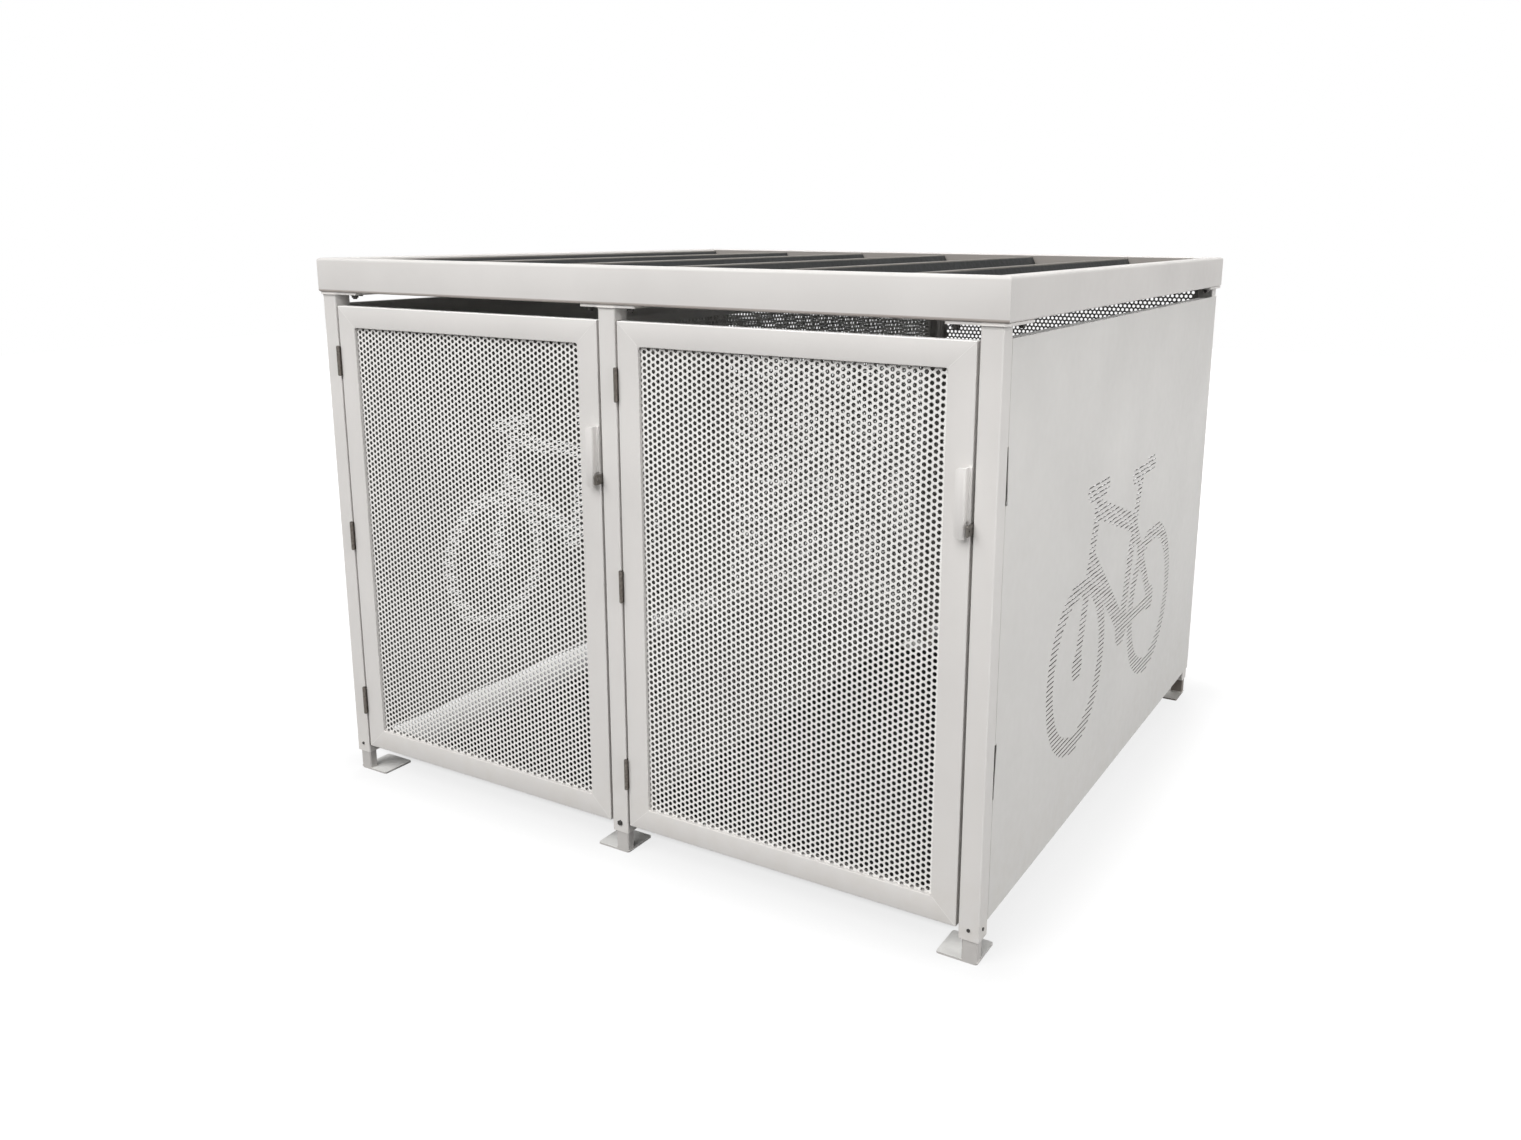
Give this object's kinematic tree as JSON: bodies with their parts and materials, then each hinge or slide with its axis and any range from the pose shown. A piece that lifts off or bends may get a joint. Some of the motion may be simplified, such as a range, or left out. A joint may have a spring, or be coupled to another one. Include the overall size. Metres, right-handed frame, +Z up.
{
  "type": "bicycle locker",
  "caption": "Steel bicycle locker with two bays side by side, each behind a perforated hinged door, with closed side panels, perforated backs and a sunken ribbed roof on sliding feet.",
  "frame": {"origin": "on the ground, under the middle of the whole part's box", "axes": "+X to the right seen from the doors, -Y the side the doors open to, +Z up"},
  "size_m": [2.025, 1.958, 1.512],
  "materials": {
    "frame_coat": "satin off-white powder coat",
    "panel_coat": "satin off-white powder coat on sheet",
    "door_coat": "satin off-white powder coat on the doors",
    "roof_coat": "dark grey coated roofing sheet",
    "steel": "bare zinc-plated steel"
  },
  "bodies": {
    "frame": {"roof_rail_front": "frame_coat", "roof_rail_back": "frame_coat", "roof_rail_left": "frame_coat", "roof_rail_right": "frame_coat", "roof_sheet": "roof_coat", "roof_bearer_front": "roof_coat", "roof_bearer_back": "roof_coat", "post_front_left": "frame_coat", "post_front_middle": "frame_coat", "post_front_right": "frame_coat", "post_rear_left": "frame_coat", "post_rear_middle": "frame_coat", "post_rear_right": "frame_coat", "foot_screw_front_left": "steel", "foot_screw_front_middle": "steel", "foot_screw_front_right": "steel", "foot_screw_rear_left": "steel", "foot_screw_rear_middle": "steel", "foot_screw_rear_right": "steel", "foot_side_screw_front_right": "steel", "side_panel_left": "panel_coat", "side_panel_right": "panel_coat", "back_panel_left": "panel_coat", "back_panel_right": "panel_coat", "divider_panel": "panel_coat", "lock_staple_left": "steel", "door_left_stop": "frame_coat", "hinge_left_low_post_leaf": "steel", "hinge_left_low_pin": "steel", "hinge_left_middle_post_leaf": "steel", "hinge_left_middle_pin": "steel", "hinge_left_high_post_leaf": "steel", "hinge_left_high_pin": "steel", "lock_staple_right": "steel", "door_right_stop": "frame_coat", "hinge_right_low_post_leaf": "steel", "hinge_right_low_pin": "steel", "hinge_right_middle_post_leaf": "steel", "hinge_right_middle_pin": "steel", "hinge_right_high_post_leaf": "steel", "hinge_right_high_pin": "steel"},
    "door_left": {"door_left_frame": "door_coat", "door_left_infill": "door_coat", "door_left_pull": "door_coat", "hinge_left_low_door_leaf": "steel", "hinge_left_middle_door_leaf": "steel", "hinge_left_high_door_leaf": "steel"},
    "door_right": {"door_right_frame": "door_coat", "door_right_infill": "door_coat", "door_right_pull": "door_coat", "hinge_right_low_door_leaf": "steel", "hinge_right_middle_door_leaf": "steel", "hinge_right_high_door_leaf": "steel"},
    "foot_front_left": {"foot_front_left": "frame_coat"},
    "foot_front_middle": {"foot_front_middle": "frame_coat"},
    "foot_front_right": {"foot_front_right": "frame_coat"},
    "foot_rear_left": {"foot_rear_left": "frame_coat"},
    "foot_rear_middle": {"foot_rear_middle": "frame_coat"},
    "foot_rear_right": {"foot_rear_right": "frame_coat"}
  },
  "joints": [
    {"name": "door_left_hinge", "type": "hinge", "parent": "frame", "child": "door_left", "pos_m": [-0.9475, -0.9545, 0], "axis": [0, 0, -1], "range_deg": [0, 150]},
    {"name": "door_right_hinge", "type": "hinge", "parent": "frame", "child": "door_right", "pos_m": [0.028, -0.9545, 0], "axis": [0, 0, -1], "range_deg": [0, 150]},
    {"name": "foot_front_left_slide", "type": "slide", "parent": "frame", "child": "foot_front_left", "axis": [0, 0, -1], "range_m": [0, 0.05]},
    {"name": "foot_front_middle_slide", "type": "slide", "parent": "frame", "child": "foot_front_middle", "axis": [0, 0, -1], "range_m": [0, 0.05]},
    {"name": "foot_front_right_slide", "type": "slide", "parent": "frame", "child": "foot_front_right", "axis": [0, 0, -1], "range_m": [0, 0.05]},
    {"name": "foot_rear_left_slide", "type": "slide", "parent": "frame", "child": "foot_rear_left", "axis": [0, 0, -1], "range_m": [0, 0.05]},
    {"name": "foot_rear_middle_slide", "type": "slide", "parent": "frame", "child": "foot_rear_middle", "axis": [0, 0, -1], "range_m": [0, 0.05]},
    {"name": "foot_rear_right_slide", "type": "slide", "parent": "frame", "child": "foot_rear_right", "axis": [0, 0, -1], "range_m": [0, 0.05]}
  ]
}
